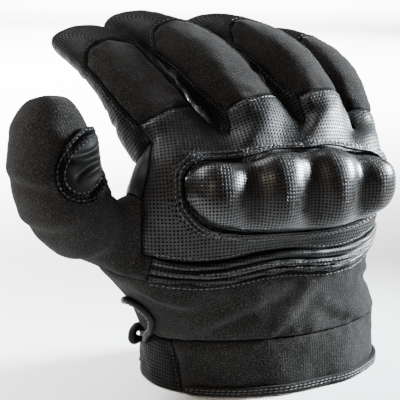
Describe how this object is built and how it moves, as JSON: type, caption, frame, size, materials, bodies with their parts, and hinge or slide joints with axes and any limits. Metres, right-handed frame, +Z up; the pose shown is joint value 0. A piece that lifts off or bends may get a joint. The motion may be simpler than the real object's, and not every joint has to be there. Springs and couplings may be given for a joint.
{
  "type": "tactical glove",
  "caption": "Right-hand tactical glove with knit back, perforated leather panels, stitched flex ridges and a padded leather knuckle guard, kept in the shape of a worn hand.",
  "frame": {"origin": "middle of the wrist opening, level with the hem", "axes": "+Z up out of the cuff towards the fingers, the back of the hand faces -Y, the thumb is on the -X side and the little finger on the +X side"},
  "size_m": [0.1466, 0.1085, 0.1317],
  "materials": {
    "knit": "matte black twill-ribbed knit with a fine fuzz",
    "perforated_leather": "semi-matte black leather with rows of small perforations",
    "palm_leather": "semi-matte black leather with a fine grain",
    "guard_leather": "satin black perforated leather pulled over moulded domes",
    "thread": "dark grey twisted sewing thread"
  },
  "bodies": {
    "root": {"cuff_tab": "perforated_leather", "cuff_band_back": "knit", "cuff_band_palm": "knit", "wrist_knit": "knit", "thumb_knit": "knit", "palm_panel": "palm_leather", "knuckle_panel": "perforated_leather", "flex_panel": "perforated_leather", "knuckle_guard": "guard_leather", "guard_border": "guard_leather", "hem_binding": "knit", "thumb_patch": "palm_leather", "vent_binding": "palm_leather", "pull_loop": "palm_leather", "finger_front_index": "palm_leather", "finger_back_index": "knit", "finger_front_middle": "palm_leather", "finger_back_middle": "knit", "finger_front_ring": "palm_leather", "finger_back_ring": "knit", "finger_front_little": "palm_leather", "finger_back_little": "knit"}
  },
  "joints": []
}
